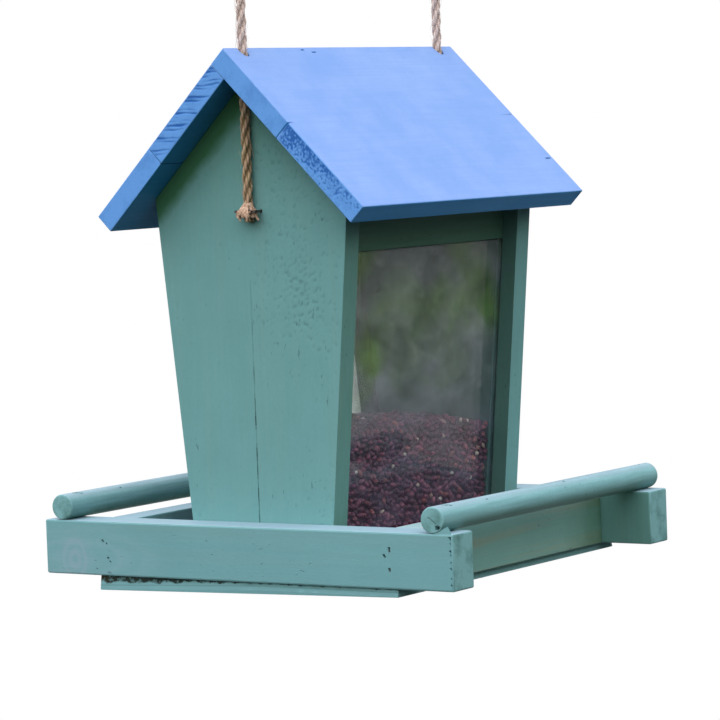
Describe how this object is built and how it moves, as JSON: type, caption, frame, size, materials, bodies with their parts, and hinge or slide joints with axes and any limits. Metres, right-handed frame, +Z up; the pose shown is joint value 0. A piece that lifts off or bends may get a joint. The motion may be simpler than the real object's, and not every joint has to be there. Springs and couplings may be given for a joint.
{
  "type": "hanging bird feeder house",
  "caption": "Hanging bird feeder house: gabled seed hopper with clear panes on a tray with perches, under a saddle roof that slides up its rope loop for filling.",
  "frame": {"origin": "centre of the underside of the floor board", "axes": "+X along the ridge towards the far gable, +Y to the rear so that the front window faces -Y, +Z up"},
  "size_m": [0.206, 0.24, 0.4226],
  "materials": {
    "green_paint": "thin matt blue-green paint over pine",
    "blue_paint": "thin matt blue paint over pine",
    "acrylic": "clear sheet with a film of dust",
    "jute": "laid natural fibre",
    "staple_wire": "dull, tarnished",
    "seed": "small red-brown grain"
  },
  "bodies": {
    "feeder": {"near_gable_front_plank": "green_paint", "near_gable_rear_plank": "green_paint", "far_gable_front_plank": "green_paint", "far_gable_rear_plank": "green_paint", "front_header": "green_paint", "rear_header": "green_paint", "front_pane": "acrylic", "rear_pane": "acrylic", "near_side_rail": "green_paint", "far_side_rail": "green_paint", "front_cross_board": "green_paint", "rear_cross_board": "green_paint", "front_perch": "green_paint", "rear_perch": "green_paint", "floor_board": "green_paint", "hanging_rope": "jute", "near_rope_staple": "staple_wire", "far_rope_staple": "staple_wire", "rail_staples": "staple_wire", "house_staples": "staple_wire", "floor_staples": "staple_wire", "perch_brads": "staple_wire", "hopper_seed": "seed", "front_seed_spill": "seed", "rear_seed_spill": "seed"},
    "roof": {"front_roof_upper_plank": "blue_paint", "front_roof_lower_plank": "blue_paint", "rear_roof_upper_plank": "blue_paint", "rear_roof_lower_plank": "blue_paint", "ridge_brads": "staple_wire"}
  },
  "joints": [
    {"name": "roof_lift", "type": "slide", "parent": "feeder", "child": "roof", "axis": [0, 0, 1], "range_m": [0, 0.065]}
  ]
}
